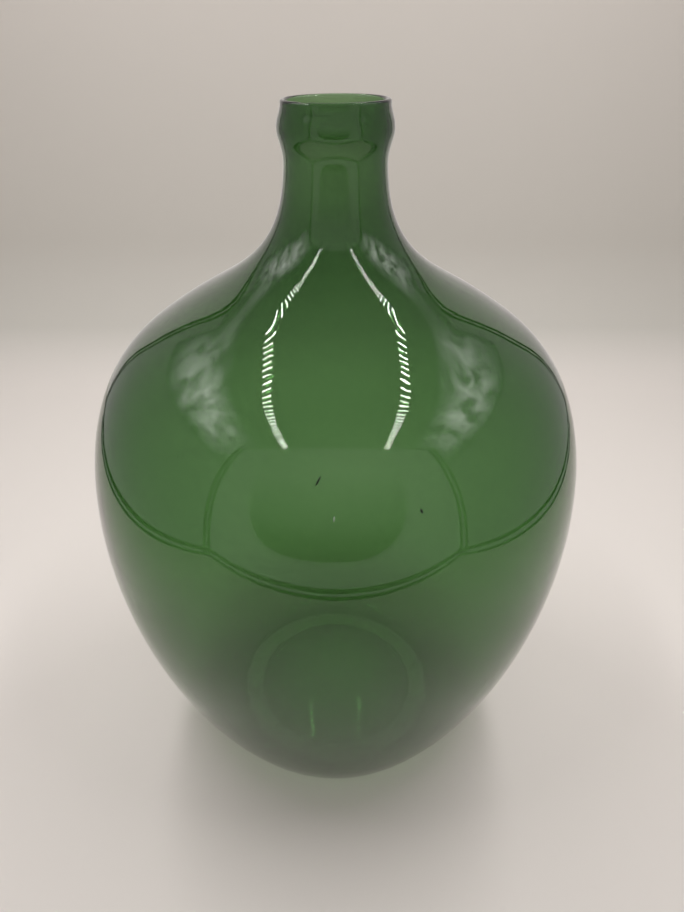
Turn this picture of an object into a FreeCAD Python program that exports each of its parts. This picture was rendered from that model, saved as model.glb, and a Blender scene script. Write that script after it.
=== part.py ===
import FreeCAD, Part
import math
import os

# A demijohn: one hollow vessel of blown glass, open at the mouth.
# Millimetres, +Z up, with the origin where the axis meets the surface that the glass stands on.

# heights above the standing surface
overall_height = 420.0
belly_height = 198.5

# heights that hang from the rim, because the neck keeps its shape on a taller body
shoulder_below_rim = 109.3
neck_below_rim = 29.0
bead_below_rim = 13.5
lip_below_rim = 3.0

# outside radii
foot_radius = 86.0
belly_radius = 148.2
shoulder_radius = 97.3
neck_radius = 26.5

# how far the bead and the lip stand out from the neck
bead_stand_out = 3.2
lip_stand_out = 0.8

# glass thickness
wall = 2.5
base_wall = 3.0

# the resting ring and the dome pushed up inside it
push_up_radius = 58.0
push_up_height = 14.0
heel_round = 24.0
ring_round = 5.0
lip_round = 1.3

# the mouth's bore runs on straight inside the lip and the neck, and opens out a little behind the bead
lip_bore_length = 5.5
neck_bore_length = 5.5
bead_hollow = 3.0

# how steeply the outline leans where the lower body and the neck's curve start, as a multiple of
# the lean of the straight line from the foot to the belly, and from the belly to the neck
foot_flare = 1.91
shoulder_flare = 1.647

# handle lengths, as shares of each stretch's chord: they set how full the curve is at either end
foot_to_belly = (0.05, 0.51)
belly_to_shoulder = (0.72, 0.09)
shoulder_to_neck = (0.38, 0.50)
neck_to_bead = (0.45, 0.23)
bead_to_lip = (0.46, 0.25)

shoulder_height = overall_height - shoulder_below_rim
neck_height = overall_height - neck_below_rim
bead_height = overall_height - bead_below_rim
lip_height = overall_height - lip_below_rim
bead_radius = neck_radius + bead_stand_out
lip_radius = neck_radius + lip_stand_out
bore_radius = neck_radius - wall

# leans in degrees from upright, outwards as the outline rises
foot_lean = foot_flare * math.degrees(math.atan2(belly_radius - foot_radius, belly_height))
neck_rise = neck_height - belly_height
shoulder_lean = shoulder_flare * math.degrees(math.atan2(neck_radius - belly_radius, neck_rise))


def point(radius, height):
    """A point of the outline, in the plane that is turned about the axis."""
    return FreeCAD.Vector(radius, 0, height)


def along(lean):
    """The direction up the outline where it leans by this many degrees."""
    return point(math.sin(math.radians(lean)), math.cos(math.radians(lean)))


def inward(lean):
    """The direction from the outside of the glass to the inside, at that lean."""
    return point(-math.cos(math.radians(lean)), math.sin(math.radians(lean)))


def line(start, end):
    return Part.LineSegment(start, end).toShape()


def curve(start, start_lean, end, end_lean, handles):
    """A cubic curve with a handle at each end, so that it meets its neighbours smoothly."""
    chord = (end - start).Length
    rise = start + along(start_lean) * (handles[0] * chord)
    fall = end - along(end_lean) * (handles[1] * chord)
    bezier = Part.BezierCurve()
    bezier.setPoles([start, rise, fall, end])
    return bezier.toShape()


def dome(edge_radius, edge_height, apex_height):
    """An arc from the axis down to the edge of the push-up."""
    height = apex_height - edge_height
    radius = (edge_radius**2 + height**2) / (2 * height)
    half_turn = math.asin(edge_radius / radius) / 2
    middle = point(radius * math.sin(half_turn), apex_height - radius * (1 - math.cos(half_turn)))
    return Part.Arc(point(0, apex_height), middle, point(edge_radius, edge_height)).toShape()


def turned(edges):
    """The solid swept by a closed outline that is turned once about the axis."""
    outline = Part.Face(Part.Wire(edges))
    return outline.revolve(FreeCAD.Vector(0, 0, 0), FreeCAD.Vector(0, 0, 1), 360)


def rounded(solid, edge_radius, edge_height, fillet_radius):
    """The solid with its circular edge at that radius and height rounded over."""
    found = []
    for edge in solid.Edges:
        # a dome's pole is an edge with no length and no curve
        if edge.Degenerated or not isinstance(edge.Curve, Part.Circle):
            continue
        radius_error = abs(edge.Curve.Radius - edge_radius)
        height_error = abs(edge.Curve.Center.z - edge_height)
        if radius_error < 0.01 and height_error < 0.01:
            found.append(edge)
    return solid.makeFillet(fillet_radius, found)


def body_curves(depth, foot):
    """The outline from the foot to the neck, carried into the glass by this depth."""
    belly = point(belly_radius - depth, belly_height)
    shoulder = point(shoulder_radius, shoulder_height) + inward(shoulder_lean) * depth
    neck = point(neck_radius - depth, neck_height)
    return [
        curve(foot, foot_lean, belly, 0, foot_to_belly),
        curve(belly, 0, shoulder, shoulder_lean, belly_to_shoulder),
        curve(shoulder, shoulder_lean, neck, 0, shoulder_to_neck),
    ]


def outside():
    """The vessel as if it were solid glass."""
    foot = point(foot_radius, 0)
    neck = point(neck_radius, neck_height)
    bead = point(bead_radius, bead_height)
    lip = point(lip_radius, lip_height)
    rim = point(lip_radius, overall_height)
    edges = [dome(push_up_radius, 0, push_up_height), line(point(push_up_radius, 0), foot)]
    edges += body_curves(0, foot)
    edges += [
        curve(neck, 0, bead, 0, neck_to_bead),
        curve(bead, 0, lip, 0, bead_to_lip),
        line(lip, rim),
        line(rim, point(0, overall_height)),
        line(point(0, overall_height), point(0, push_up_height)),
    ]
    solid = turned(edges)
    solid = rounded(solid, push_up_radius, 0, ring_round)
    return rounded(solid, foot_radius, 0, heel_round)


def hollow():
    """The space inside the glass, which runs out through the mouth."""
    lean = math.radians(foot_lean)
    foot = point(foot_radius - wall / math.cos(lean) + base_wall * math.tan(lean), base_wall)
    neck = point(bore_radius, neck_height)
    neck_end = point(bore_radius, neck_height + neck_bore_length)
    bead = point(bore_radius + bead_hollow, bead_height)
    lip = point(bore_radius, overall_height - lip_bore_length)
    above = overall_height + base_wall
    # the inside of the push-up is parallel to the outside, so its edge lies a little further out
    sphere = (push_up_radius**2 + push_up_height**2) / (2 * push_up_height)
    edge_radius = math.sqrt(push_up_height * (2 * (sphere + base_wall) - push_up_height))
    apex = push_up_height + base_wall
    edges = [dome(edge_radius, base_wall, apex), line(point(edge_radius, base_wall), foot)]
    edges += body_curves(wall, foot)
    edges += [
        line(neck, neck_end),
        curve(neck_end, 0, bead, 0, neck_to_bead),
        curve(bead, 0, lip, 0, bead_to_lip),
        line(lip, point(bore_radius, above)),
        line(point(bore_radius, above), point(0, above)),
        line(point(0, above), point(0, apex)),
    ]
    solid = turned(edges)
    solid = rounded(solid, edge_radius, base_wall, ring_round)
    return rounded(solid, foot.x, base_wall, heel_round - base_wall)


def glass_vessel():
    """The blown glass: the outside less the hollow, with both edges of the lip melted round."""
    glass = outside().cut(hollow())
    glass = rounded(glass, lip_radius, overall_height, lip_round)
    return rounded(glass, bore_radius, overall_height, lip_round)


os.makedirs("parts", exist_ok=True)
glass_vessel().exportStep("parts/glass_vessel.step")
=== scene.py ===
import math
import bpy
import numpy as np
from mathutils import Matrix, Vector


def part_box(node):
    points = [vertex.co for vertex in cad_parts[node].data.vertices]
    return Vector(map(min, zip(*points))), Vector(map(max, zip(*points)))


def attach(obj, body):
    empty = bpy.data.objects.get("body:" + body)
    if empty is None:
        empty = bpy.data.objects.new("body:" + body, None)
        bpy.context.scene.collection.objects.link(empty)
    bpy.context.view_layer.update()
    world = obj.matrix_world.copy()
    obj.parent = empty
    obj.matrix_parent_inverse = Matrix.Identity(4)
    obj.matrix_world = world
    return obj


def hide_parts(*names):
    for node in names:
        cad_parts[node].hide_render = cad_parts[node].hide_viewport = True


# A bottle green demijohn, one blown vessel, standing in a plain pale studio.
# Metres, +Z up, the axis of the vessel on the world's Z.

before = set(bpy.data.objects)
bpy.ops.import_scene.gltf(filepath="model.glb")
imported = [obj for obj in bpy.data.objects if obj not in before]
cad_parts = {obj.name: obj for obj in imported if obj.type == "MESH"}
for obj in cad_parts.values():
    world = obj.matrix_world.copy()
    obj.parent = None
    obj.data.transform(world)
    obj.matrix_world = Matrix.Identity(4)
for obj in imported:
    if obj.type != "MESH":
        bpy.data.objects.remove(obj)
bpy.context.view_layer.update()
lowCorner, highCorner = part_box("glass_vessel")


cameraSettings = {
    "lens": 27.04,
    "place": (0.0, -0.37298, 0.45001),
    "lookDown": 32.24,      # degrees under the horizon
    "sideShift": 0.007,
}


def makeCamera(settings):
    # level from side to side, looking down at the given angle
    lens = bpy.data.cameras.new("camera")
    lens.lens = settings["lens"]
    lens.sensor_width = 36.0
    lens.sensor_fit = "AUTO"
    lens.shift_x = settings["sideShift"]
    lens.clip_start = 0.01
    lens.clip_end = 20.0
    lens.dof.use_dof = False
    camera = bpy.data.objects.new("camera", lens)
    camera.location = settings["place"]
    camera.rotation_euler = (math.radians(90.0 - settings["lookDown"]), 0.0, 0.0)
    bpy.context.scene.collection.objects.link(camera)
    bpy.context.scene.camera = camera


makeCamera(cameraSettings)
print("stage: camera placed")


def putMesh(name, points, faces, material, smooth=True):
    # points is an (n, 3) array and faces is a list of index tuples
    mesh = bpy.data.meshes.new(name)
    mesh.from_pydata(points.tolist(), [], faces)
    mesh.update()
    mesh.polygons.foreach_set("use_smooth", np.full(len(mesh.polygons), smooth))
    mesh.materials.append(material)
    piece = bpy.data.objects.new(name, mesh)
    bpy.context.scene.collection.objects.link(piece)
    return piece


def gridFaces(rows, columns, wrap):
    # quads between the points of a grid, row by row; wrap joins the last column to the first
    across = columns if wrap else columns - 1
    row, column = np.meshgrid(np.arange(rows - 1), np.arange(across), indexing="ij")
    following = (column + 1) % columns
    quads = np.stack(
        [row * columns + column, row * columns + following,
         (row + 1) * columns + following, (row + 1) * columns + column], axis=-1)
    return quads.reshape(-1, 4).tolist()


vessel = {
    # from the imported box, kept a hair inside it
    "height": highCorner.z,
    "bellyRadius": (highCorner.x - lowCorner.x) / 2 - 0.00005,
    "bellyHeight": 0.1985,
    "shoulderRadius": 0.0973,
    "shoulderBelowRim": 0.1093,
    "neckRadius": 0.0265,
    "neckBelowRim": 0.029,
    "beadStandOut": 0.0032,
    "beadBelowRim": 0.0135,
    "lipStandOut": 0.0008,
    "lipBelowRim": 0.003,
    "lipRound": 0.0013,
    "footRadius": 0.086,
    "heelRound": 0.024,
    "pushUpRadius": 0.058,
    "pushUpHeight": 0.014,
    "ringRound": 0.005,
    "wall": 0.0025,
    "baseWall": 0.003,
    "beadHollow": 0.0033,   # the bore opens out this much behind the bead
    "lipHollow": 0.0005,    # and stays this much wider in the lip
    "boreRun": 0.0055,      # straight bore above the neck's curve and under the lip
    "footFlare": 1.91,
    "shoulderFlare": 1.647,
    "footToBelly": (0.05, 0.51),
    "bellyToShoulder": (0.72, 0.09),
    "shoulderToNeck": (0.38, 0.50),
    "neckToBead": (0.45, 0.23),
    "beadToLip": (0.46, 0.25),
    "around": 184,          # points round the axis
    "step": 0.0027,         # the distance between points up the wall
    "relaxReach": 3.1,      # in steps
    "neckStep": 0.0012,     # the same two for the bead and lip, with a longer reach inside
    "outerNeckReach": 1.6,
    "innerNeckReach": 3.4,
    "boreShift": 0.00012,   # the bore sits this far off centre, so one side is thicker
    "boreShiftFrom": 0.30,  # it starts at this height and is complete this much further up
    "boreShiftOver": 0.08,
    "outsideWave": 0.00012,
    "insideWave": 0.00035,
    "waveMargin": 0.03,     # no waves this near the base and the rim, and full waves after waveFade
    "waveFade": 0.05,
    "throatExtra": 0.0008,  # the glass is this much thicker where the shoulder runs into the neck
    "throatHeight": 0.352,
    "throatReach": 0.026,
    "rimSlope": 0.017,      # the rim drops this much for each unit across the mouth
    "chipTurn": -124.5,     # degrees round the axis
    "chipWidth": 7.0,
    "chipDepth": 0.0009,
    "chipDrop": 0.0022,     # how far down the skin it fades out
    "chipOutside": 0.0272,  # it ends at this radius
}


def along(lean):
    return np.array([math.sin(lean), math.cos(lean)])


def inward(lean):
    return np.array([-math.cos(lean), math.sin(lean)])


def cubic(start, startLean, end, endLean, handles, count):
    # a cubic Bezier between two (radius, height) points: each handle points along the lean there
    # and is a share of the straight distance long
    chord = np.linalg.norm(end - start)
    rise = start + along(startLean) * handles[0] * chord
    fall = end - along(endLean) * handles[1] * chord
    t = np.linspace(0, 1, count)[:, None]
    s = 1 - t
    return s ** 3 * start + 3 * s ** 2 * t * rise + 3 * s * t ** 2 * fall + t ** 3 * end


def arc(centre, radius, startAngle, endAngle, count):
    # centre plus radius times the cosine and sine of an angle that runs evenly between the two
    angle = np.radians(np.linspace(startAngle, endAngle, count))
    return np.stack([centre[0] + radius * np.cos(angle), centre[1] + radius * np.sin(angle)], axis=-1)


def footing(dome, edgeRound, floor, heelRound, curve, counts):
    # the bottom of one skin: a dome about (0, dome[0]) of radius dome[1], a fillet, a flat ring at
    # height floor, and a fillet that is tangent to the ring and to the body's curve
    centreHeight, domeRadius = dome
    edgeHeight = floor + edgeRound
    edgeX = math.sqrt((domeRadius + edgeRound) ** 2 - (edgeHeight - centreHeight) ** 2)
    edgeAngle = math.degrees(math.atan2(edgeHeight - centreHeight, edgeX))
    cap = arc((0, centreHeight), domeRadius, 90, edgeAngle, counts[0])
    edge = arc((edgeX, edgeHeight), edgeRound, edgeAngle + 180, 270, counts[1])
    tangent = np.gradient(curve, axis=0)
    tangent /= np.linalg.norm(tangent, axis=1)[:, None]
    offset = curve + heelRound * np.stack([-tangent[:, 1], tangent[:, 0]], axis=-1)
    place = np.interp(floor + heelRound, offset[:, 1], np.arange(len(curve)))
    heelX = np.interp(place, np.arange(len(curve)), offset[:, 0])
    touch = np.array([np.interp(place, np.arange(len(curve)), curve[:, i]) for i in (0, 1)])
    leave = math.degrees(math.atan2(touch[1] - floor - heelRound, touch[0] - heelX))
    heel = arc((heelX, floor + heelRound), heelRound, -90, leave, counts[2])
    flat = np.linspace(edge[-1], heel[0], 5)[1:-1]
    rest = curve[int(place) + 1:]
    return np.vstack([cap, edge[1:], flat, heel, rest])


def even(points, step):
    # the same line with points an even distance apart
    length = np.concatenate([[0], np.cumsum(np.linalg.norm(np.diff(points, axis=0), axis=1))])
    count = max(4, int(round(length[-1] / step)))
    want = np.linspace(0, length[-1], count)
    return np.stack([np.interp(want, length, points[:, i]) for i in (0, 1)], axis=-1)


def relax(points, reach):
    # each point becomes the bell-weighted mean of its neighbours, so that the curvature runs on
    # evenly through the joints; the ends are carried on by turning the line half round them
    width = int(3 * reach)
    bell = np.exp(-0.5 * (np.arange(-width, width + 1) / reach) ** 2)
    bell /= bell.sum()
    before = 2 * points[0] - points[width:0:-1]
    after = 2 * points[-1] - points[-2:-width - 2:-1]
    longer = np.vstack([before, points, after])
    return np.stack([np.convolve(longer[:, i], bell, "valid") for i in (0, 1)], axis=-1)


def bodyLine(v, depth, foot):
    # foot to neck as three cubics, belly and shoulder between them, each end carried into the
    # glass by depth
    footLean = v["footFlare"] * math.atan2(v["bellyRadius"] - v["footRadius"], v["bellyHeight"])
    neckHeight = v["height"] - v["neckBelowRim"]
    rise = neckHeight - v["bellyHeight"]
    shoulderLean = v["shoulderFlare"] * math.atan2(v["neckRadius"] - v["bellyRadius"], rise)
    belly = np.array([v["bellyRadius"] - depth, v["bellyHeight"]])
    shoulder = np.array([v["shoulderRadius"], v["height"] - v["shoulderBelowRim"]])
    shoulder = shoulder + inward(shoulderLean) * depth
    neck = np.array([v["neckRadius"] - depth, neckHeight])
    lower = cubic(foot, footLean, belly, 0, v["footToBelly"], 400)
    upper = cubic(belly, 0, shoulder, shoulderLean, v["bellyToShoulder"], 300)
    throat = cubic(shoulder, shoulderLean, neck, 0, v["shoulderToNeck"], 300)
    top = relax(even(np.vstack([upper, throat[1:]]), v["step"]), v["relaxReach"])
    return even(lower, v["step"]), top[1:]


def outsideLine(v):
    # from the axis under the push-up, round the heel and up to the rim's rounded edge
    sphere = (v["pushUpRadius"] ** 2 + v["pushUpHeight"] ** 2) / (2 * v["pushUpHeight"])
    lower, upper = bodyLine(v, 0, np.array([v["footRadius"], 0]))
    dome = (v["pushUpHeight"] - sphere, sphere)
    foot = footing(dome, v["ringRound"], 0, v["heelRound"], lower, (16, 6, 16))
    neck = upper[-1]
    bead = np.array([v["neckRadius"] + v["beadStandOut"], v["height"] - v["beadBelowRim"]])
    lip = np.array([v["neckRadius"] + v["lipStandOut"], v["height"] - v["lipBelowRim"]])
    swell = cubic(neck, 0, bead, 0, v["neckToBead"], 22)[1:]
    tuck = cubic(bead, 0, lip, 0, v["beadToLip"], 16)[1:]
    top = relax(even(np.vstack([upper[-8:], swell, tuck]), v["neckStep"]), v["outerNeckReach"])
    rimCentre = (lip[0] - v["lipRound"], v["height"] - v["lipRound"])
    edge = arc(rimCentre, v["lipRound"], 0, 90, 7)
    return np.vstack([foot, upper[:-8], top, edge])


def insideLine(v):
    # from the axis on top of the push-up, up the inner wall to the rim's inner rounded edge
    sphere = (v["pushUpRadius"] ** 2 + v["pushUpHeight"] ** 2) / (2 * v["pushUpHeight"])
    footLean = v["footFlare"] * math.atan2(v["bellyRadius"] - v["footRadius"], v["bellyHeight"])
    footX = v["footRadius"] - v["wall"] / math.cos(footLean) + v["baseWall"] * math.tan(footLean)
    lower, upper = bodyLine(v, v["wall"], np.array([footX, v["baseWall"]]))
    dome = (v["pushUpHeight"] - sphere, sphere + v["baseWall"])
    innerHeel = v["heelRound"] - v["baseWall"]
    foot = footing(dome, v["ringRound"], v["baseWall"], innerHeel, lower, (16, 5, 14))
    bore = v["neckRadius"] - v["wall"]
    neckEnd = np.array([bore, upper[-1][1] + v["boreRun"]])
    bead = np.array([bore + v["beadHollow"], v["height"] - v["beadBelowRim"]])
    bore += v["lipHollow"]
    lip = np.array([bore, v["height"] - v["boreRun"]])
    straight = np.linspace(upper[-1], neckEnd, 4)[1:]
    swell = cubic(neckEnd, 0, bead, 0, v["neckToBead"], 12)[1:]
    tuck = cubic(bead, 0, lip, 0, v["beadToLip"], 12)[1:]
    top = np.vstack([upper[-8:], straight, swell, tuck])
    top = relax(even(top, v["neckStep"]), v["innerNeckReach"])
    rimCentre = (bore + v["lipRound"], v["height"] - v["lipRound"])
    edge = arc(rimCentre, v["lipRound"], 180, 90, 7)
    return np.vstack([foot, upper[:-8], top, edge])


def ripple(turn, height, seed):
    # the uneven pull of blown glass: slow waves round the axis that drift with height, from 0 to 1
    draw = np.random.default_rng(seed)
    total = np.zeros(np.broadcast(turn, height).shape)
    weight = 0.0
    for waves in (2, 3, 5, 8, 11):
        phase = draw.uniform(0, 2 * math.pi, 2)
        climb = draw.uniform(12, 55)
        share = 1 / math.sqrt(waves)
        drift = np.cos(0.6 * climb * height + phase[1])
        total += share * np.sin(waves * turn + phase[0] + climb * height) * drift
        weight += share
    return 0.5 + 0.5 * total / weight


def makeVessel(v, material):
    # the two skins are one line from pole to pole, turned about the axis: x = r cos t, y = r sin t
    outer = outsideLine(v)
    inner = insideLine(v)[::-1]
    line = np.vstack([outer, inner])
    isInner = np.arange(len(line)) >= len(outer)
    radius = line[:, 0][:, None]
    height = line[:, 1][:, None]
    turn = np.linspace(0, 2 * math.pi, v["around"], endpoint=False)[None, :]
    # the waves fade out at the base and at the mouth, and only ever take glass off the outside
    fromBase = np.clip((height - v["waveMargin"]) / v["waveFade"], 0, 1)
    fromRim = np.clip((v["height"] - v["waveMargin"] - height) / v["waveFade"], 0, 1)
    fade = fromBase * fromRim
    outsideWave = -v["outsideWave"] * ripple(turn, height, 3)
    insideWave = v["insideWave"] * (ripple(turn, height, 8) - 0.5)
    throat = np.exp(-((height - v["throatHeight"]) / v["throatReach"]) ** 2) * v["throatExtra"]
    r = radius + fade * np.where(isInner[:, None], insideWave - throat, outsideWave)
    x = r * np.cos(turn)
    y = r * np.sin(turn)
    z = height + 0 * turn
    # the bore is a little off centre from the shoulder up
    shift = np.clip((height - v["boreShiftFrom"]) / v["boreShiftOver"], 0, 1) * isInner[:, None]
    x = x - v["boreShift"] * shift
    # the rim was cut off not quite square
    nearRim = np.clip((height - v["height"] + 0.012) / 0.01, 0, 1)
    z = z - nearRim * v["rimSlope"] * (v["neckRadius"] + v["lipStandOut"] - x) * 0.5
    # a shallow chip in the rim's inner edge, with a jagged floor
    away = (np.degrees(turn) - v["chipTurn"] + 180) % 360 - 180
    inChip = np.clip(1 - (away / v["chipWidth"]) ** 2, 0, 1)
    jag = 0.65 + 0.35 * np.sin(away * 2.3) * np.cos(away * 1.1 + 0.7)
    bite = np.clip((height - v["height"] + v["chipDrop"]) / v["chipDrop"], 0, 1)
    bite = bite * np.clip((v["chipOutside"] - radius) / 0.001, 0, 1)
    z = z - v["chipDepth"] * inChip * jag * bite
    points = np.stack([x, y, z], axis=-1)[1:-1]
    rows, columns = points.shape[:2]
    bottom = [[0.0, 0.0, line[0, 1]]]
    top = [[0.0, 0.0, line[-1, 1]]]
    flat = np.vstack([points.reshape(-1, 3), bottom, top])
    faces = gridFaces(rows, columns, True)
    ring = np.arange(columns)
    after = (ring + 1) % columns
    under = rows * columns
    first = np.stack([np.full(columns, under), after, ring], axis=-1)
    lastRow = (rows - 1) * columns
    last = np.stack([lastRow + ring, lastRow + after, np.full(columns, under + 1)], axis=-1)
    faces = faces + first.tolist() + last.tolist()
    return putMesh("blown_glass", flat, faces, material)


def emptyMaterial(name):
    material = bpy.data.materials.new(name)
    material.use_nodes = True
    material.node_tree.nodes.clear()
    return material, material.node_tree.nodes, material.node_tree.links


glassLook = {
    "tint": (0.96, 1.0, 0.97, 1.0),
    "depthColour": (0.10, 0.42, 0.0, 1.0),
    "depthDensity": 520.0,
    "bending": 1.5,
    "stretch": (1.0, 1.0, 0.55),    # the waves are longer up the wall than round it
    "waveScale": 26.0,
    "waveDetail": 1.5,
    "waveRoughness": 0.4,
    "fineScale": 190.0,
    "fineDetail": 2.0,
    "fineShare": 0.06,      # of the slow waves' height
    "bumpDepth": 0.00022,
    "bloomFrom": 0.42,      # noise values between which the skin goes from smooth to rough
    "bloomTo": 0.75,
    "smoothest": 0.004,
    "roughest": 0.035,
}


def greenGlass(look):
    # clear green glass that darkens with depth; slow waves and fine cords in the skin, and a
    # faint bloom of dust in the roughness
    material, nodes, links = emptyMaterial("bottle_green_glass")
    output = nodes.new("ShaderNodeOutputMaterial")
    glass = nodes.new("ShaderNodeBsdfPrincipled")
    glass.inputs["Base Color"].default_value = look["tint"]
    glass.inputs["Transmission Weight"].default_value = 1.0
    glass.inputs["IOR"].default_value = look["bending"]
    depth = nodes.new("ShaderNodeVolumeAbsorption")
    depth.inputs["Color"].default_value = look["depthColour"]
    depth.inputs["Density"].default_value = look["depthDensity"]
    where = nodes.new("ShaderNodeTexCoord")
    stretch = nodes.new("ShaderNodeMapping")
    stretch.inputs["Scale"].default_value = look["stretch"]
    waves = nodes.new("ShaderNodeTexNoise")
    waves.inputs["Scale"].default_value = look["waveScale"]
    waves.inputs["Detail"].default_value = look["waveDetail"]
    waves.inputs["Roughness"].default_value = look["waveRoughness"]
    fine = nodes.new("ShaderNodeTexNoise")
    fine.inputs["Scale"].default_value = look["fineScale"]
    fine.inputs["Detail"].default_value = look["fineDetail"]
    both = nodes.new("ShaderNodeMath")
    both.operation = "MULTIPLY_ADD"
    both.inputs[1].default_value = look["fineShare"]
    bump = nodes.new("ShaderNodeBump")
    bump.inputs["Strength"].default_value = 1.0
    bump.inputs["Distance"].default_value = look["bumpDepth"]
    bloom = nodes.new("ShaderNodeMapRange")
    bloom.inputs["From Min"].default_value = look["bloomFrom"]
    bloom.inputs["From Max"].default_value = look["bloomTo"]
    bloom.inputs["To Min"].default_value = look["smoothest"]
    bloom.inputs["To Max"].default_value = look["roughest"]
    links.new(where.outputs["Object"], stretch.inputs["Vector"])
    links.new(stretch.outputs["Vector"], waves.inputs["Vector"])
    links.new(stretch.outputs["Vector"], fine.inputs["Vector"])
    links.new(fine.outputs["Fac"], both.inputs[0])
    links.new(waves.outputs["Fac"], both.inputs[2])
    links.new(both.outputs["Value"], bump.inputs["Height"])
    links.new(bump.outputs["Normal"], glass.inputs["Normal"])
    links.new(fine.outputs["Fac"], bloom.inputs["Value"])
    links.new(bloom.outputs["Result"], glass.inputs["Roughness"])
    links.new(glass.outputs["BSDF"], output.inputs["Surface"])
    links.new(depth.outputs["Volume"], output.inputs["Volume"])
    return material


vesselPiece = makeVessel(vessel, greenGlass(glassLook))
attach(vesselPiece, "root")
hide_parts("glass_vessel")
vesselPiece.data.calc_loop_triangles()
print("stage: glass made,", len(vesselPiece.data.loop_triangles), "triangles")


specks = [
    # turn round the axis in degrees, height, half length, half width, lean in degrees, dark or pale
    {"turn": -93.4, "height": 0.2822, "long": 0.0024, "wide": 0.00045, "lean": 25, "dark": True},
    {"turn": -90.3, "height": 0.2677, "long": 0.0013, "wide": 0.0004, "lean": 5, "dark": False},
    {"turn": -73.7, "height": 0.2679, "long": 0.0012, "wide": 0.0006, "lean": -20, "dark": True},
    {"turn": 61.0, "height": 0.231, "long": 0.0010, "wide": 0.0005, "lean": 40, "dark": False},
    {"turn": 148.0, "height": 0.166, "long": 0.0014, "wide": 0.0004, "lean": -10, "dark": True},
]

grit = {
    "thickness": 0.0003,    # half of it
    "sunk": 0.0002,         # how far its middle lies under the skin
    "darkColour": (0.012, 0.02, 0.012, 1.0),
    "paleColour": (0.42, 0.55, 0.42, 1.0),
    "darkestShare": 0.6,    # of the colour, in the darkest grains
    "grainScale": 900.0,
    "smoothest": 0.35,
    "roughest": 0.6,
    "pitDepth": 0.0001,
}


def gritMaterial(name, colour, look):
    # a grain of unmelted sand: rough and slightly uneven in tone
    material, nodes, links = emptyMaterial(name)
    output = nodes.new("ShaderNodeOutputMaterial")
    grain = nodes.new("ShaderNodeBsdfPrincipled")
    where = nodes.new("ShaderNodeTexCoord")
    noise = nodes.new("ShaderNodeTexNoise")
    noise.inputs["Scale"].default_value = look["grainScale"]
    ramp = nodes.new("ShaderNodeValToRGB")
    ramp.color_ramp.elements[0].color = tuple(look["darkestShare"] * c for c in colour[:3]) + (1.0,)
    ramp.color_ramp.elements[1].color = colour
    rough = nodes.new("ShaderNodeMapRange")
    rough.inputs["To Min"].default_value = look["smoothest"]
    rough.inputs["To Max"].default_value = look["roughest"]
    links.new(where.outputs["Object"], noise.inputs["Vector"])
    links.new(noise.outputs["Fac"], ramp.inputs["Fac"])
    links.new(noise.outputs["Fac"], rough.inputs["Value"])
    links.new(ramp.outputs["Color"], grain.inputs["Base Color"])
    links.new(rough.outputs["Result"], grain.inputs["Roughness"])
    pitted = nodes.new("ShaderNodeBump")
    pitted.inputs["Distance"].default_value = look["pitDepth"]
    links.new(noise.outputs["Fac"], pitted.inputs["Height"])
    links.new(pitted.outputs["Normal"], grain.inputs["Normal"])
    links.new(grain.outputs["BSDF"], output.inputs["Surface"])
    return material


def makeSpecks(name, marks, look, v, material):
    # each speck is an ellipsoid: along the skin by cos(a)cos(b), across it by sin(a)cos(b), and
    # through it by sin(b), in the outer skin and mostly sunk in it
    line = outsideLine(v)
    wall = line[(line[:, 1] > 0.03) & (line[:, 1] < 0.38)]
    tangents = np.gradient(wall, axis=0)
    tangents /= np.linalg.norm(tangents, axis=1)[:, None]
    a = np.linspace(0, 2 * math.pi, 12, endpoint=False)[None, :]
    b = np.radians(np.linspace(-90, 90, 9))[1:-1, None]
    thick = look["thickness"]
    allPoints, allFaces = [], []
    for mark in marks:
        radius = np.interp(mark["height"], wall[:, 1], wall[:, 0]) - look["sunk"]
        slope = [np.interp(mark["height"], wall[:, 1], tangents[:, i]) for i in (0, 1)]
        turn, lean = math.radians(mark["turn"]), math.radians(mark["lean"])
        outward = np.array([math.cos(turn), math.sin(turn), 0])
        sideways = np.array([-math.sin(turn), math.cos(turn), 0])
        upward = outward * slope[0] + np.array([0, 0, 1]) * slope[1]
        through = np.cross(sideways, upward)
        first = upward * math.cos(lean) + sideways * math.sin(lean)
        second = sideways * math.cos(lean) - upward * math.sin(lean)
        middle = outward * radius + np.array([0, 0, mark["height"]])
        ring = (middle
                + (mark["long"] * np.cos(a) * np.cos(b))[..., None] * first
                + (mark["wide"] * np.sin(a) * np.cos(b))[..., None] * second
                + (thick * np.sin(b) + 0 * a)[..., None] * through)
        rows, columns = ring.shape[:2]
        poles = [middle - thick * through, middle + thick * through]
        points = np.vstack([ring.reshape(-1, 3), poles])
        start = sum(len(p) for p in allPoints)
        faces = np.array(gridFaces(rows, columns, True))[:, ::-1] + start
        turnOn = (np.arange(columns) + 1) % columns
        low = np.stack([np.arange(columns), turnOn, np.full(columns, rows * columns)], axis=-1) + start
        topRow = (rows - 1) * columns
        high = np.stack([np.full(columns, rows * columns + 1), topRow + turnOn,
                         topRow + np.arange(columns)], axis=-1) + start
        allPoints.append(points)
        allFaces += faces.tolist() + low.tolist() + high.tolist()
    return putMesh(name, np.vstack(allPoints), allFaces, material)


darkMarks = [m for m in specks if m["dark"]]
paleMarks = [m for m in specks if not m["dark"]]
darkGrain = gritMaterial("dark_grain", grit["darkColour"], grit)
paleGrain = gritMaterial("pale_grain", grit["paleColour"], grit)
darkGrit = makeSpecks("dark_grit", darkMarks, grit, vessel, darkGrain)
paleGrit = makeSpecks("pale_grit", paleMarks, grit, vessel, paleGrain)
for piece in (darkGrit, paleGrit):
    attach(piece, "root")
print("stage: specks made")


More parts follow.
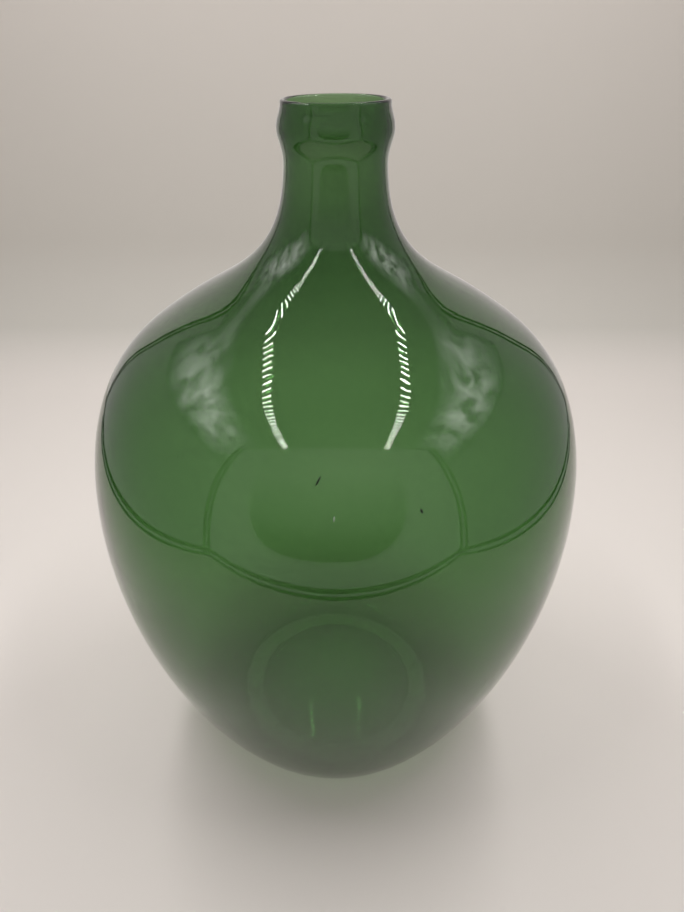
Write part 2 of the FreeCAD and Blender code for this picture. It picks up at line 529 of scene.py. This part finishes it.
studio = {
    "floorBack": 0.52,      # where the paper starts to rise behind the vessel
    "floorSide": 1.30,
    "floorFront": 1.90,
    "cornerRound": 0.30,
    "sweepRound": 0.17,
    "wallHeight": 1.70,
    "paper": (0.83, 0.80, 0.77, 1.0),
    "shadedPaperLow": (0.66, 0.65, 0.61, 1.0),        # painted shade at the foot of the wall
    "shadedPaperHigh": (0.74, 0.695, 0.665, 1.0),     # painted shade far up the wall
    "paperLowAt": 0.05,     # the heights of those two
    "paperHighAt": 0.9,
    "paperRoughness": 0.85,
    "paperShine": 0.15,
    "worldColour": (1.0, 0.965, 0.945, 1.0),
    "horizonGlow": 0.12,
    "zenithGlow": 0.63,
    "zenithNarrowing": 1.5,
    "tubeOffset": 0.30,     # two long soft lamps run from front to back
    "tubeMiddle": 0.06,
    "tubeHeight": 1.0,
    "tubeSize": (0.10, 0.80),
    "tubePower": 3.8,
    "poolHeight": 1.0,
    "poolSoftness": 0.05,
    # light that comes down through the vessel: colour, power, spread in degrees, and how far back
    "throughGlass": [((0.64, 1.0, 0.53), 15.5, 12.0, 0.012), ((1.0, 1.0, 0.92), 4.8, 38.0, 0.07)],
}


def paperMaterial(look):
    # matt paper, a little greyer where it turns up from a ramp on its height: painted shade, for the
    # wall getting less light than the floor
    material, nodes, links = emptyMaterial("paper_with_painted_shade")
    output = nodes.new("ShaderNodeOutputMaterial")
    paper = nodes.new("ShaderNodeBsdfPrincipled")
    where = nodes.new("ShaderNodeTexCoord")
    split = nodes.new("ShaderNodeSeparateXYZ")
    ramp = nodes.new("ShaderNodeValToRGB")
    steps = ramp.color_ramp.elements
    steps[0].position, steps[0].color = 0.0, look["paper"]
    steps[1].position, steps[1].color = look["paperHighAt"], look["shadedPaperHigh"]
    steps.new(look["paperLowAt"]).color = look["shadedPaperLow"]
    links.new(where.outputs["Object"], split.inputs["Vector"])
    links.new(split.outputs["Z"], ramp.inputs["Fac"])
    links.new(ramp.outputs["Color"], paper.inputs["Base Color"])
    paper.inputs["Roughness"].default_value = look["paperRoughness"]
    paper.inputs["Specular IOR Level"].default_value = look["paperShine"]
    links.new(paper.outputs["BSDF"], output.inputs["Surface"])
    return material


def makeSweep(look, material):
    # loops round a rounded rectangle: first shrunk copies that fill the floor, then the floor's
    # edge carried out and up along a quarter circle, then straight up
    turn = np.linspace(0, 2 * math.pi, 160, endpoint=False)
    corner = look["cornerRound"]
    halfX = look["floorSide"] - corner
    halfY = (look["floorBack"] + look["floorFront"]) / 2 - corner
    middleY = (look["floorBack"] - look["floorFront"]) / 2
    # a rounded rectangle is a rectangle's nearest corner point plus a circle about it
    quarter = np.floor(turn / (math.pi / 2) + 1e-9)
    centreX = halfX * np.where((quarter == 0) | (quarter == 3), 1, -1)
    centreY = halfY * np.where(quarter < 2, 1, -1)
    shares = np.array([0.02, 0.15, 0.35, 0.6, 0.85, 1.0])
    climb = np.radians(np.linspace(0, 90, 14))[1:]
    level = np.zeros(len(shares))
    sweep = look["sweepRound"]
    out = np.concatenate([level, sweep * np.sin(climb), [sweep]])
    up = np.concatenate([level, sweep * (1 - np.cos(climb)), [look["wallHeight"]]])
    shrink = np.concatenate([shares, np.ones(len(climb) + 1)])[:, None]
    x = shrink * (centreX + corner * np.cos(turn)) + out[:, None] * np.cos(turn)
    y = middleY + shrink * (centreY + corner * np.sin(turn)) + out[:, None] * np.sin(turn)
    z = up[:, None] + 0 * turn
    points = np.stack([x, y, z], axis=-1)
    rows, columns = points.shape[:2]
    flat = np.vstack([points.reshape(-1, 3), [[0.0, middleY, 0.0]]])
    faces = [f[::-1] for f in gridFaces(rows, columns, True)]
    ring = np.arange(columns)
    middle = np.stack([ring, (ring + 1) % columns, np.full(columns, rows * columns)], axis=-1)
    return putMesh("paper_sweep", flat, faces + middle.tolist(), material)


makeSweep(studio, paperMaterial(studio))


def lightWorld(look):
    # light from a soft sky that is brightest straight up
    world = bpy.data.worlds.new("soft_overhead")
    world.use_nodes = True
    nodes, links = world.node_tree.nodes, world.node_tree.links
    background = nodes["Background"]
    background.inputs["Color"].default_value = look["worldColour"]
    where = nodes.new("ShaderNodeTexCoord")
    split = nodes.new("ShaderNodeSeparateXYZ")
    above = nodes.new("ShaderNodeMath")
    above.operation = "MAXIMUM"
    above.inputs[1].default_value = 0.0
    narrow = nodes.new("ShaderNodeMath")
    narrow.operation = "POWER"
    narrow.inputs[1].default_value = look["zenithNarrowing"]
    climb = nodes.new("ShaderNodeMapRange")
    climb.inputs["From Min"].default_value = 0.0
    climb.inputs["From Max"].default_value = 1.0
    climb.inputs["To Min"].default_value = look["horizonGlow"]
    climb.inputs["To Max"].default_value = look["zenithGlow"]
    links.new(where.outputs["Generated"], split.inputs["Vector"])
    links.new(split.outputs["Z"], above.inputs[0])
    links.new(above.outputs["Value"], narrow.inputs[0])
    links.new(narrow.outputs["Value"], climb.inputs["Value"])
    links.new(climb.outputs["Result"], background.inputs["Strength"])
    bpy.context.scene.world = world


def tubeLamp(name, x, look):
    lamp = bpy.data.lights.new(name, "AREA")
    lamp.shape = "RECTANGLE"
    lamp.size, lamp.size_y = look["tubeSize"]
    lamp.energy = look["tubePower"]
    lamp.color = look["worldColour"][:3]
    box = bpy.data.objects.new(name, lamp)
    box.location = (x, look["tubeMiddle"], look["tubeHeight"])
    box.visible_glossy = False
    box.visible_transmission = False
    box.visible_camera = False
    bpy.context.scene.collection.objects.link(box)


def lightThroughGlass(name, look, colour, power, spread, setBack):
    # lamps cast glass's shadow as if it were solid, so soft pools from above stand for the light
    # that comes down through the vessel onto the paper
    lamp = bpy.data.lights.new(name, "SPOT")
    lamp.energy = power
    lamp.color = colour
    lamp.spot_size = math.radians(spread)
    lamp.spot_blend = 1.0
    lamp.shadow_soft_size = look["poolSoftness"]
    lamp.use_shadow = False
    pool = bpy.data.objects.new(name, lamp)
    pool.location = (0.0, setBack, look["poolHeight"])
    pool.visible_glossy = False
    pool.visible_transmission = False
    pool.visible_camera = False
    bpy.context.scene.collection.objects.link(pool)


lightWorld(studio)
tubeLamp("left_tube", -studio["tubeOffset"], studio)
tubeLamp("right_tube", studio["tubeOffset"], studio)
for pool, name in zip(studio["throughGlass"], ("narrow_green_pool", "wide_pale_pool")):
    lightThroughGlass(name, studio, *pool)
print("stage: paper and light placed")


tent = {
    "halfWidth": 0.66,
    "back": 0.62,
    "front": -0.58,
    "ceiling": 0.95,
    # glowing cloth seen only in reflections: painted light on the sides, back and front, painted shade
    # on the ceiling
    "litSideCloth": (0.45, 0.435, 0.425, 1.0),
    "litBackCloth": (0.74, 0.69, 0.66, 1.0),
    "shadedTopCloth": (0.24, 0.235, 0.23, 1.0),
    "litFrontCloth": (0.60, 0.585, 0.57, 1.0),
    "openingMiddle": (-0.043, 0.56),
    "openingReach": (0.34, 0.40),
    "openingSquareness": 3.2,
    "openingGlow": [        # heights and colours of the room seen through it, painted as a glow
        (0.24, (0.02, 0.02, 0.02, 1)),
        (0.33, (0.20, 0.20, 0.19, 1)),
        (0.62, (0.56, 0.55, 0.53, 1)),
    ],
    "trimWidth": 0.02,
    # painted light on the opening's trim
    "litTrimCloth": (0.48, 0.47, 0.45, 1.0),
    "stripOffset": 0.305,
    "stripFront": -0.56,
    "stripBack": 0.22,
    "bulbs": 31,
    "bulbSize": (0.022, 0.0026),
    "bulbColour": (1.0, 0.98, 0.95, 1),
    "bulbGlow": 46.0,
    "seamRadius": 0.008,
    # the second rod of each seam lies this far off: a painted second reflection
    "paintedReflectionGap": 0.036,
    "liningLow": 0.66,
    "liningIn": 0.48,
    "liningRun": 0.9,       # its share of the way from front to back
    # the lining's glow is painted light, from dim to bright across the creases
    "liningGlow": 5.5,
    "liningDim": 0.5,
    "liningColour": (1.0, 0.99, 0.97, 1),
    "creaseScale": 8.0,
    "creaseDetail": 3.0,
    "creaseRoughness": 0.55,
    "creaseTwist": 0.4,
    "creaseFrom": 0.34,     # noise values between which it goes from dim to bright
    "creaseTo": 0.78,
}


def glowMaterial(name, colour, strength):
    material, nodes, links = emptyMaterial(name)
    output = nodes.new("ShaderNodeOutputMaterial")
    glow = nodes.new("ShaderNodeEmission")
    glow.inputs["Color"].default_value = colour
    glow.inputs["Strength"].default_value = strength
    links.new(glow.outputs["Emission"], output.inputs["Surface"])
    material.cycles.emission_sampling = "NONE"
    return material


def mirrorOnly(prop, throughGlass=False):
    # seen in reflections and nowhere else
    prop.visible_camera = False
    prop.visible_diffuse = False
    prop.visible_transmission = throughGlass
    prop.visible_shadow = False
    prop.visible_volume_scatter = False


def flatCard(name, corners, material):
    # one flat rectangle straight from its four corners
    points = np.array(corners, float)
    mirrorOnly(putMesh(name, points, [(0, 1, 2, 3)], material, smooth=False))


def roundedCard(name, look, extra, y, material):
    # a superellipse: each power of the cosine and sine of the turn, times the reach that way
    turn = np.linspace(0, 2 * math.pi, 64, endpoint=False)
    power = 2 / look["openingSquareness"]
    middle, reach = look["openingMiddle"], look["openingReach"]
    across = np.sign(np.cos(turn)) * np.abs(np.cos(turn)) ** power
    up = np.sign(np.sin(turn)) * np.abs(np.sin(turn)) ** power
    x = middle[0] + (reach[0] + extra) * across
    z = middle[1] + (reach[1] + extra) * up
    points = np.stack([x, y + 0 * x, z], axis=-1)
    return putMesh(name, points, [tuple(range(len(turn)))], material, False)


def seamRods(look):
    # pairs of square rods along the tent's floor edges and upright corners, eight points each; the
    # second rod of each pair is a painted reflection, the seam's second reflection off the glass's
    # inner skin
    w, top = look["halfWidth"] - 0.004, look["ceiling"]
    back, front = look["back"] - 0.01, look["front"] + 0.004
    gap = look["paintedReflectionGap"]
    lines = []
    # the second pass draws the painted second reflections
    for step in (0.0, gap):
        lines += [
            ((-w, front, step), (-w, back, step)),
            ((w, front, step), (w, back, step)),
            ((-w, front, step), (w, front, step)),
            ((-w + step, back, 0.0), (-w + step, back, top)),
            ((w - step, back, 0.0), (w - step, back, top)),
            ((-w, front + step, 0.0), (-w, front + step, top)),
            ((w, front + step, 0.0), (w, front + step, top)),
        ]
    lines = np.array(lines)
    direction = lines[:, 1] - lines[:, 0]
    direction /= np.linalg.norm(direction, axis=1)[:, None]
    side = np.cross(direction, [0.3, 0.5, 0.81])
    side /= np.linalg.norm(side, axis=1)[:, None]
    other = np.cross(direction, side)
    r = look["seamRadius"]
    ring = np.stack([side + other, -side + other, -side - other, side - other], axis=1) * r
    points = np.concatenate([lines[:, 0][:, None] + ring, lines[:, 1][:, None] + ring], axis=1)
    base = np.arange(len(lines))[:, None, None] * 8
    box = np.array([[0, 1, 5, 4], [1, 2, 6, 5], [2, 3, 7, 6], [3, 0, 4, 7], [3, 2, 1, 0], [4, 5, 6, 7]])
    faces = (base + box[None]).reshape(-1, 4).tolist()
    dark = glowMaterial("dark_seam", (0, 0, 0, 1), 0.0)
    return putMesh("tent_seams", points.reshape(-1, 3), faces, dark, False)


def bulbRows(look):
    # two rows of small glowing oblongs under the ceiling, running from front to back
    places = np.linspace(look["stripFront"], look["stripBack"], look["bulbs"])
    sides = np.array([-look["stripOffset"], look["stripOffset"]])
    x, y = np.meshgrid(sides, places)
    centre = np.stack([x.ravel(), y.ravel(), np.full(x.size, look["ceiling"] - 0.01)], axis=-1)
    wide, deep = look["bulbSize"]
    square = np.array([[-wide, -deep, 0], [wide, -deep, 0], [wide, deep, 0], [-wide, deep, 0]])
    points = (centre[:, None] + square[None]).reshape(-1, 3)
    faces = np.arange(len(points)).reshape(-1, 4)[:, ::-1].tolist()
    white = glowMaterial("led_glow", look["bulbColour"], look["bulbGlow"])
    return putMesh("led_rows", points, faces, white, False)


def openingMaterial(look):
    # the room in front, painted light as a glow: nearly black at the bottom and paler above, from a
    # ramp on the height
    material, nodes, links = emptyMaterial("room_painted_light")
    output = nodes.new("ShaderNodeOutputMaterial")
    glow = nodes.new("ShaderNodeEmission")
    where = nodes.new("ShaderNodeTexCoord")
    split = nodes.new("ShaderNodeSeparateXYZ")
    ramp = nodes.new("ShaderNodeValToRGB")
    steps = ramp.color_ramp.elements
    low, middle, high = look["openingGlow"]
    steps[0].position, steps[0].color = low
    steps[1].position, steps[1].color = high
    steps.new(middle[0]).color = middle[1]
    links.new(where.outputs["Object"], split.inputs["Vector"])
    links.new(split.outputs["Z"], ramp.inputs["Fac"])
    links.new(ramp.outputs["Color"], glow.inputs["Color"])
    links.new(glow.outputs["Emission"], output.inputs["Surface"])
    material.cycles.emission_sampling = "NONE"
    return material


def liningMaterial(look):
    # crumpled lining shown as a glowing band: painted light for the bright silvery creased patches in
    # the reflections; creases from a twisted noise, brightest along the middle of the band and fading
    # out to every edge
    material, nodes, links = emptyMaterial("lining_painted_reflection")
    output = nodes.new("ShaderNodeOutputMaterial")
    glow = nodes.new("ShaderNodeEmission")
    glow.inputs["Color"].default_value = look["liningColour"]
    where = nodes.new("ShaderNodeTexCoord")
    noise = nodes.new("ShaderNodeTexNoise")
    noise.inputs["Scale"].default_value = look["creaseScale"]
    noise.inputs["Detail"].default_value = look["creaseDetail"]
    noise.inputs["Roughness"].default_value = look["creaseRoughness"]
    noise.inputs["Distortion"].default_value = look["creaseTwist"]
    crease = nodes.new("ShaderNodeMapRange")
    crease.inputs["From Min"].default_value = look["creaseFrom"]
    crease.inputs["From Max"].default_value = look["creaseTo"]
    crease.inputs["To Min"].default_value = look["liningDim"]
    crease.inputs["To Max"].default_value = look["liningGlow"]
    band = nodes.new("ShaderNodeUVMap")
    split = nodes.new("ShaderNodeSeparateXYZ")
    links.new(band.outputs["UV"], split.inputs["Vector"])
    links.new(where.outputs["Object"], noise.inputs["Vector"])
    links.new(noise.outputs["Fac"], crease.inputs["Value"])
    level = crease.outputs["Result"]
    for axis in ("X", "Y"):
        # sine of pi times the place across the band
        half = nodes.new("ShaderNodeMath")
        half.operation = "MULTIPLY"
        half.inputs[1].default_value = math.pi
        swell = nodes.new("ShaderNodeMath")
        swell.operation = "SINE"
        times = nodes.new("ShaderNodeMath")
        times.operation = "MULTIPLY"
        links.new(split.outputs[axis], half.inputs[0])
        links.new(half.outputs["Value"], swell.inputs[0])
        links.new(swell.outputs["Value"], times.inputs[0])
        links.new(level, times.inputs[1])
        level = times.outputs["Value"]
    # the ceiling's painted shade is added under the lining's glow
    base = nodes.new("ShaderNodeMath")
    base.operation = "ADD"
    base.inputs[1].default_value = look["shadedTopCloth"][0]
    links.new(level, base.inputs[0])
    links.new(base.outputs["Value"], glow.inputs["Strength"])
    links.new(glow.outputs["Emission"], output.inputs["Surface"])
    material.cycles.emission_sampling = "NONE"
    return material


def liningBand(name, side, look, material):
    # a band that runs from front to back, up the wall and round onto the ceiling; u across it,
    # v along it
    profile = np.array([
        [look["halfWidth"] - 0.005, look["liningLow"]],
        [look["halfWidth"] - 0.005, look["ceiling"] - 0.005],
        [look["liningIn"], look["ceiling"] - 0.005],
    ])
    length = np.concatenate([[0], np.cumsum(np.linalg.norm(np.diff(profile, axis=0), axis=1))])
    u = np.linspace(0, 1, 13)
    across = np.stack([np.interp(u, length / length[-1], profile[:, i]) for i in (0, 1)], axis=-1)
    v = np.linspace(0, 1, 5)
    y = look["front"] + v * (look["back"] - look["front"]) * look["liningRun"]
    x = side * across[:, 0][:, None] + 0 * y
    z = across[:, 1][:, None] + 0 * y
    points = np.stack([x, y + 0 * x, z], axis=-1).reshape(-1, 3)
    piece = putMesh(name, points, gridFaces(len(u), len(v), False), material, False)
    uv = np.stack([u[:, None] + 0 * v, v + 0 * u[:, None]], axis=-1).reshape(-1, 2)
    corner = np.empty(len(piece.data.loops), dtype=np.int32)
    piece.data.loops.foreach_get("vertex_index", corner)
    piece.data.uv_layers.new(name="band").data.foreach_set("uv", uv[corner].ravel())
    mirrorOnly(piece)


def makeTent(look):
    # a box of cloth with an opening in front, its lining, its seams and its lamps; the cloth is glowing
    # cards, painted light for how bright each face looks under the lamps, with painted shade on the dim
    # ceiling
    w, back, front, top = look["halfWidth"], look["back"], look["front"], look["ceiling"]
    side = glowMaterial("tent_side_painted_light", look["litSideCloth"], 1.0)
    rear = glowMaterial("tent_back_painted_light", look["litBackCloth"], 1.0)
    roof = glowMaterial("tent_top_painted_shade", look["shadedTopCloth"], 1.0)
    face = glowMaterial("tent_front_painted_light", look["litFrontCloth"], 1.0)
    trim = glowMaterial("trim_painted_light", look["litTrimCloth"], 1.0)
    dark = openingMaterial(look)
    lining = liningMaterial(look)
    flatCard("tent_left", [(-w, front, 0), (-w, back, 0), (-w, back, top), (-w, front, top)], side)
    flatCard("tent_right", [(w, front, 0), (w, back, 0), (w, back, top), (w, front, top)], side)
    flatCard("tent_back", [(-w, back, 0), (w, back, 0), (w, back, top), (-w, back, top)], rear)
    flatCard("tent_ceiling", [(-w, front, top), (w, front, top), (w, back, top), (-w, back, top)], roof)
    flatCard("tent_front", [(-w, front, 0), (w, front, 0), (w, front, top), (-w, front, top)], face)
    t = look["trimWidth"]
    mirrorOnly(roundedCard("opening_trim", look, t, front + 0.002, trim))
    mirrorOnly(roundedCard("opening", look, 0.0, front + 0.004, dark))
    liningBand("lining_left", -1, look, lining)
    liningBand("lining_right", 1, look, lining)
    mirrorOnly(seamRods(look))
    mirrorOnly(bulbRows(look), throughGlass=True)


makeTent(tent)
bpy.context.scene.view_settings.view_transform = "Standard"
print("stage: tent placed")
